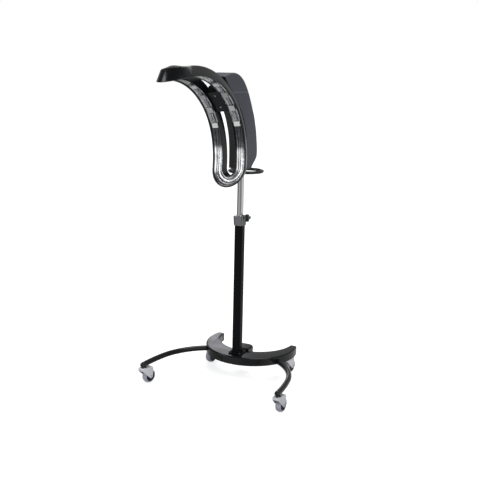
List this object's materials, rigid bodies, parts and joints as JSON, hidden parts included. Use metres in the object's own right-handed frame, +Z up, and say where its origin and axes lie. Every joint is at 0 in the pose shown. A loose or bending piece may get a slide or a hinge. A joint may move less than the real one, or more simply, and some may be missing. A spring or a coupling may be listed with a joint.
{
  "type": "hair color processor",
  "caption": "Free-standing hair color processor: a curved heater ring on a hub in a tilted hood housing, on a height-adjustable mast, column, crescent base and swivel casters.",
  "frame": {"origin": "on the floor, on the vertical axis of the column and mast", "axes": "+Z up, client side towards -Y, width along X"},
  "size_m": [0.7166, 0.808, 1.4402],
  "materials": {
    "caster_tyre": "translucent grey tread, matt",
    "black_plastic": "moulded, semi-gloss",
    "chrome": "bright plated",
    "black_paint": "gloss black enamel",
    "slate_plastic": "satin slate grey",
    "gloss_black": "gloss black",
    "reflector": "polished reflector sheet",
    "quartz": "quartz tube",
    "ceramic": "white ceramic",
    "clip_steel": "spring steel",
    "display": "dark window",
    "button_plastic": "soft-touch key",
    "cast_black": "satin black",
    "drive_steel": "machined",
    "brass": "turned",
    "board": "laminate"
  },
  "bodies": {
    "stand": {"base_crescent": "black_paint", "leg_right": "black_paint", "leg_left": "black_paint", "leg_caps": "gloss_black", "caster_cups": "chrome", "column_tube": "black_paint", "column_foot": "black_paint", "foot_bolts": "chrome", "clamp_collar": "chrome", "collar_bush": "gloss_black", "cord_gland": "gloss_black"},
    "clamp": {"clamp_knob": "gloss_black", "clamp_stud": "chrome"},
    "lift": {"mast_tube": "chrome", "mast_plug": "gloss_black"},
    "head": {"mast_socket": "cast_black", "handle_ring": "gloss_black", "housing_shell": "slate_plastic", "housing_front": "gloss_black", "rear_cover": "slate_plastic", "display_window": "display", "cover_screws": "chrome", "control_board": "board", "shaft_bearing": "drive_steel", "gearbox": "drive_steel", "gear_motor": "drive_steel", "brush_block": "board"},
    "ring": {"ring_shell": "gloss_black", "ring_reflector": "reflector", "heater_right": "quartz", "heater_left": "quartz", "tube_clips": "clip_steel", "heater_ends": "ceramic", "hub_flange": "black_plastic", "hub_screws": "chrome", "drive_shaft": "chrome", "slip_ring": "brass"},
    "button_power": {"button_power": "button_plastic"},
    "button_mode": {"button_mode": "button_plastic"},
    "button_time_up": {"button_time_up": "button_plastic"},
    "button_time_down": {"button_time_down": "button_plastic"},
    "switch_rocker": {"switch_rocker": "button_plastic"},
    "swivel_front_right": {"fork_front_right": "chrome", "axle_front_right": "chrome"},
    "wheel_front_right": {"tyre_front_right": "caster_tyre", "core_front_right": "black_plastic"},
    "swivel_front_left": {"fork_front_left": "chrome", "axle_front_left": "chrome"},
    "wheel_front_left": {"tyre_front_left": "caster_tyre", "core_front_left": "black_plastic"},
    "swivel_rear_right": {"fork_rear_right": "chrome", "axle_rear_right": "chrome"},
    "wheel_rear_right": {"tyre_rear_right": "caster_tyre", "core_rear_right": "black_plastic"},
    "swivel_rear_left": {"fork_rear_left": "chrome", "axle_rear_left": "chrome"},
    "wheel_rear_left": {"tyre_rear_left": "caster_tyre", "core_rear_left": "black_plastic"}
  },
  "joints": [
    {"name": "mast_height", "type": "slide", "parent": "stand", "child": "lift", "axis": [0, 0, 1], "range_m": [-0.15, 0.2]},
    {"name": "head_turn", "type": "hinge", "parent": "lift", "child": "head", "pos_m": [0, 0, 1], "axis": [0, 0, 1], "range_deg": [-170, 170]},
    {"name": "ring_spin", "type": "hinge", "parent": "head", "child": "ring", "pos_m": [0, -0.2389, 1.2936], "axis": [0, -0.7727, -0.6347], "continuous": true},
    {"name": "clamp_turn", "type": "hinge", "parent": "stand", "child": "clamp", "pos_m": [0, 0, 0.775], "axis": [1, 0, 0], "range_deg": [-360, 0]},
    {"name": "button_power_press", "type": "slide", "parent": "head", "child": "button_power", "axis": [0, -0.9664, -0.2571], "range_m": [0, 0.0012], "stiffness_N_per_m": 300, "springref_m": -0.0006},
    {"name": "button_mode_press", "type": "slide", "parent": "head", "child": "button_mode", "axis": [0, -0.9664, -0.2571], "range_m": [0, 0.0012], "stiffness_N_per_m": 300, "springref_m": -0.0006},
    {"name": "button_time_up_press", "type": "slide", "parent": "head", "child": "button_time_up", "axis": [0, -0.9433, -0.3321], "range_m": [0, 0.0012], "stiffness_N_per_m": 300, "springref_m": -0.0006},
    {"name": "button_time_down_press", "type": "slide", "parent": "head", "child": "button_time_down", "axis": [0, -0.9433, -0.3321], "range_m": [0, 0.0012], "stiffness_N_per_m": 300, "springref_m": -0.0006},
    {"name": "switch_rock", "type": "hinge", "parent": "head", "child": "switch_rocker", "pos_m": [0, 0.04356, 1.22329], "axis": [0, 0.3797, -0.9251], "range_deg": [0, 14]},
    {"name": "swivel_front_right", "type": "hinge", "parent": "stand", "child": "swivel_front_right", "pos_m": [0.337, -0.29, 0.09], "axis": [0, 0, 1], "continuous": true},
    {"name": "roll_front_right", "type": "hinge", "parent": "swivel_front_right", "child": "wheel_front_right", "pos_m": [0.33937, -0.25608, 0.033], "axis": [0.9976, -0.0698, 0], "continuous": true},
    {"name": "swivel_front_left", "type": "hinge", "parent": "stand", "child": "swivel_front_left", "pos_m": [-0.337, -0.29, 0.09], "axis": [0, 0, 1], "continuous": true},
    {"name": "roll_front_left", "type": "hinge", "parent": "swivel_front_left", "child": "wheel_front_left", "pos_m": [-0.32993, -0.25674, 0.033], "axis": [0.9781, -0.2079, 0], "continuous": true},
    {"name": "swivel_rear_right", "type": "hinge", "parent": "stand", "child": "swivel_rear_right", "pos_m": [0.194, 0.15, 0.09], "axis": [0, 0, 1], "continuous": true},
    {"name": "roll_rear_right", "type": "hinge", "parent": "swivel_rear_right", "child": "wheel_rear_right", "pos_m": [0.19755, 0.18381, 0.033], "axis": [0.9945, -0.1045, 0], "continuous": true},
    {"name": "swivel_rear_left", "type": "hinge", "parent": "stand", "child": "swivel_rear_left", "pos_m": [-0.194, 0.15, 0.09], "axis": [0, 0, 1], "continuous": true},
    {"name": "roll_rear_left", "type": "hinge", "parent": "swivel_rear_left", "child": "wheel_rear_left", "pos_m": [-0.1999, 0.11652, 0.033], "axis": [-0.9848, 0.1736, 0], "continuous": true}
  ]
}
